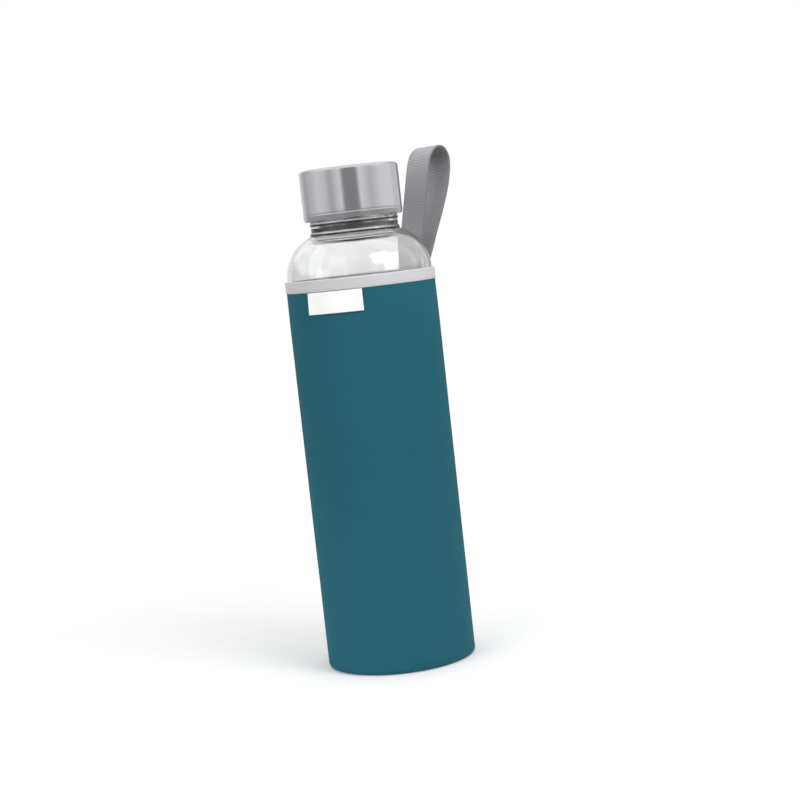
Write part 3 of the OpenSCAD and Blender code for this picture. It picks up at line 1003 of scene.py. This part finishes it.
def strap_line(spacing):
    """The webbing's centre line as evenly spaced (radius, height) points: up the inner sewn
    layer, round the loop, and down the outer sewn layer."""
    bend = PATCH_HIGH - 1.9
    inner = [(INNER_LAYER_R, z) for z in (PATCH_LOW, PATCH_LOW + 5, PATCH_LOW + 10, bend)]
    outer = [(OUTER_LAYER_R, z) for z in (bend, PATCH_LOW + 10, PATCH_LOW + 5, PATCH_LOW)]
    loop = [(SLEEVE_R + x, BINDING_HIGH + z) for x, z in LOOP_LINE]
    curve = spline(inner + loop + outer, 40)
    length = distances(curve)
    even = np.linspace(0, length[-1], round(length[-1] / spacing) + 1)
    return np.stack([np.interp(even, length, curve[:, k]) for k in (0, 1)], 1), even


def herringbone(across, along):
    """The twill's height from 0 to 1: slanting ridges that turn back at each column."""
    place = (across + STRAP_W / 2) % (2 * TWILL_COLUMN)
    zigzag = np.minimum(place, 2 * TWILL_COLUMN - place)
    ridge = 0.5 + 0.5 * np.cos(TURN * (along + 0.5 * zigzag) / TWILL_PITCH)
    to_turn = np.minimum(zigzag, TWILL_COLUMN - zigzag)
    ridge = ridge * (1 - 0.5 * np.exp(-(to_turn / 0.2) ** 2))
    selvedge = smooth_step(STRAP_W / 2 - 1.0, STRAP_W / 2 - 0.7, np.abs(across))
    cord = 0.3 + 0.25 * np.sin(TURN * along / SELVEDGE_PITCH)
    groove = 1 - 0.75 * np.exp(-((np.abs(across) - STRAP_W / 2 + 0.95) / 0.14) ** 2)
    return (ridge * (1 - selvedge) + cord * selvedge) * groove


def webbing_section():
    """Points round the webbing: how far across each lies, and its side, 1 outside, -1 inside."""
    straight = STRAP_W / 2 - STRAP_EDGE
    flat = np.linspace(-straight, straight, FLAT_POINTS)
    rounded = straight + STRAP_EDGE * np.cos(EDGE_TURN)
    across, side = [], []
    for sign in (1, -1):
        across += [*(sign * flat), *(sign * rounded)]
        side += [sign] * FLAT_POINTS + list(-sign * np.sin(EDGE_TURN))
    return np.array(across), np.array(side)


def webbing_end(row, columns):
    """The faces that close one end of the webbing: across its flat part, then at its edges."""
    first, edge = row * columns, len(EDGE_TURN)
    last = first + columns - edge - 1
    faces = [[first + k, first + k + 1, last - k - 1, last - k] for k in range(FLAT_POINTS - 1)]
    for start in (FLAT_POINTS - 1, columns - edge - 1):
        faces.append([first + (start + k) % columns for k in range(edge + 2)])
    return faces


def drape_webbing(centre, across, thickness):
    """The webbing's points. Sewn down, it follows the sleeve's curve; it flattens out above its
    sewn ends, where it is a little cupped."""
    ahead = directions(centre)
    normal = np.stack([-ahead[:, 1], ahead[:, 0]], 1)
    rise = np.clip(centre[:, 1] - PATCH_HIGH, 0, None)
    curl = 1 - smooth_step(0, 14, rise)
    depth = INNER_LAYER_R - np.sqrt(INNER_LAYER_R ** 2 - across ** 2)
    cup = 0.075 * np.cos(across / (STRAP_W / 2) * math.pi / 2)
    radial = centre[:, :1] + normal[:, :1] * thickness - curl[:, None] * depth
    radial = radial + (1 - curl[:, None]) * cup * normal[:, :1]
    height = centre[:, 1:] + normal[:, 1:] * thickness
    x, y = radial * OUT_X - across * OUT_Y, radial * OUT_Y + across * OUT_X
    return np.stack([x, y, height], 2).reshape(-1, 3)


def make_strap(material):
    centre, along = strap_line(0.27)
    across, side = webbing_section()
    rows, columns = len(centre), len(across)
    grid_s, grid_l = np.meshgrid(across, along)
    relief = herringbone(grid_s, grid_l + np.where(side > 0, 0, 0.7))
    # the rounded edges get a relief below zero, which thins them slightly and which the material
    # uses as painted shade
    rounded_edge = -0.6 + 0.12 * np.sin(TURN * grid_l / SELVEDGE_PITCH)
    relief = np.where(np.abs(side) == 1, relief, rounded_edge)
    verts = drape_webbing(centre, across, side * (STRAP_T / 2 - 0.13 + 0.1 * relief))
    place = across + STRAP_W / 2 + np.where(side < 0, 20, 0)
    faces, uvs = skin(rows, columns, lambda r, c: (place[c % columns], along[r]))
    for row in (0, rows - 1):
        for face in webbing_end(row, columns):
            faces.append(face)
            uvs += [(across[face[0] % columns], along[row])] * len(face)
    piece = make_piece("webbing_strap", verts, faces, uvs, material, 60, relief.ravel())
    face_outward(piece)
    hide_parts("carry_strap", "strap_ends")
    x, y = HINGE_R * OUT_X * MM, HINGE_R * OUT_Y * MM
    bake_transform(piece)


def make_strap_stitches(material):
    """A box with a cross, sewn through both ends of the webbing."""
    half_w, half_h = STRAP_W / 2 - 2, (PATCH_HIGH - PATCH_LOW) / 2 - 2
    middle = (PATCH_LOW + PATCH_HIGH) / 2
    r = OUTER_LAYER_R + STRAP_T / 2 + 0.06
    corners = [(-half_w, -half_h), (half_w, -half_h), (half_w, half_h), (-half_w, half_h)]
    runs = [(corners[k], corners[(k + 1) % 4]) for k in range(4)]
    runs += [(corners[0], corners[2]), (corners[1], corners[3])]
    paths = []
    for start, end in runs:
        run = np.subtract(end, start)
        count = round(np.linalg.norm(run) / 1.9)
        for k in range(count):
            a, b = (start + run * (k + share) / count for share in (0.09, 0.91))
            p, q = (turned(STRAP_ANGLE, r, s[0], middle + s[1]) for s in (a, b))
            away = (p + q) / 2 * (1, 1, 0)
            paths.append(stitch_path(p, q, 0.24 * away / np.linalg.norm(away)))
    sew("strap_box_stitches", paths, 0.3, material, "strap_stitching")


# ---- studio
def studio_windows(x, y, z, around):
    """Two tall softboxes and a bright ceiling, which show only as mirror images in the glass."""
    level = round_ramp(around, [(degrees, power / 10) for degrees, power, _ in CEILING])
    lowest = round_ramp(around, [(degrees, low) for degrees, _, low in CEILING])
    glare = edge_of(z - lowest, 0.12) * level * 10.0
    for side, edges, power in WINDOWS:
        outward = x * side
        reach = calc("MAXIMUM", outward, 0.02)
        ahead, high = y * -1.0 / reach, z / reach
        inside = edge_of(outward)
        for constant, along, rise in edges:
            inside = inside * edge_of(ahead * along + high * rise + constant)
        glare = glare + inside * power
    return glare


def make_world():
    """A white studio with grey flags around it, as directions from the bottle. Its walls are
    given by the angle round from the camera: 0 is the camera's side and 180 is behind."""
    world = bpy.data.worlds.new("studio")
    bpy.context.scene.world = world
    world.use_nodes = True
    tree = world.node_tree
    tree.nodes.clear()
    direction = node_value(tree, "ShaderNodeTexCoord", output="Generated")
    inputs = {"Vector": direction, "Angle": -CAMERA_AZIMUTH}
    faced = node_value(tree, "ShaderNodeVectorRotate", inputs, rotation_type="Z_AXIS")
    x, y, z = map(Value, add_node(tree, "ShaderNodeSeparateXYZ", {0: faced}).outputs)
    around = calc("ARCTAN2", x, y * -1.0) / TURN + 0.5
    overhead = ramp(z, [(0.0, 0.0), (0.45, 0.0), (0.7, 1.0)])
    underfoot = ramp(z * -1.0, [(0.0, 0.0), (0.08, 0.0), (0.22, 1.0)])
    sky = mix_colour(overhead, round_ramp(around, WALLS), (1.15, 1.15, 1.15, 1))
    sky = mix_colour(underfoot, sky, (0.34, 0.34, 0.34, 1))
    path = add_node(tree, "ShaderNodeLightPath")
    singular, transmitted, diffuse, camera = (
        Value(path.outputs["Is %s Ray" % kind])
        for kind in ("Singular", "Transmission", "Diffuse", "Camera"))
    mirrored = singular * (1.0 - transmitted)
    sky = shaded(sky, mirrored * studio_windows(x, y, z, around), "ADD")
    sky = mix_colour(diffuse * DIMMED, sky, (0, 0, 0, 1))
    seen = mix_colour(camera, sky, (1, 1, 1, 1))
    background = node_value(tree, "ShaderNodeBackground", {"Color": seen, "Strength": 1.0})
    add_node(tree, "ShaderNodeOutputWorld", {"Surface": background})


def make_floor():
    """A pale round floor that fades into the white behind it. It is clear from below, and open
    under the bottle, so that light reaches the bottle's underside."""
    material, shader = new_material("floor_paper", Roughness=0.9, Specular_IOR_Level=0.1)
    tree = shader.id_data
    place = node_value(tree, "ShaderNodeTexCoord", output="Object")
    grain = noise_value(place, 180.0, 2.0)
    wire(shader, Base_Color=mix_colour(grain, srgb(234, 234, 234), srgb(238, 238, 238)))
    away = node_value(tree, "ShaderNodeVectorMath", {0: place}, "Value", operation="LENGTH")
    fade = map_range(away, 0.1, 0.3, 0.0, 1.0, interpolation_type="SMOOTHSTEP")
    below = node_value(tree, "ShaderNodeNewGeometry", output="Backfacing")
    opening = edge_of(calc("SUBTRACT", 0.96 * SLEEVE_R * MM, away), 0.0005)
    see_through(shader, calc("MAXIMUM", calc("MAXIMUM", fade, below), opening))
    steps = 96
    rim = turned(np.arange(steps) * TURN / steps, 0.95, 0, 0)
    mesh = bpy.data.meshes.new("floor")
    mesh.from_pydata(rim.tolist(), [], [list(range(steps))])
    mesh.materials.append(material)
    add_object("floor", mesh)


def main():
    bpy.context.scene.view_settings.view_transform = "Standard"
    make_camera()
    make_world()
    for light in SOFTBOXES:
        softbox(*light)
    make_floor()

    neoprene = neoprene_material()
    make_sleeve(neoprene)
    make_base(neoprene)
    make_binding(tape_material())
    pale = thread_material("pale_thread", srgb(178, 168, 162), srgb(212, 204, 198))
    teal = thread_material("teal_thread", srgb(30, 74, 87), srgb(52, 106, 120))
    grey = thread_material("grey_thread", srgb(120, 119, 122), srgb(160, 159, 162))
    make_binding_stitches(pale)
    make_back_seam(teal)
    make_base_stitches(teal)
    make_strap(webbing_material())
    make_strap_stitches(grey)
    make_label(label_material())
    make_glass(glass_material())
    make_cap_shell(steel_material())
    make_liner(plastic_material())
    make_seal(silicone_material())


main()
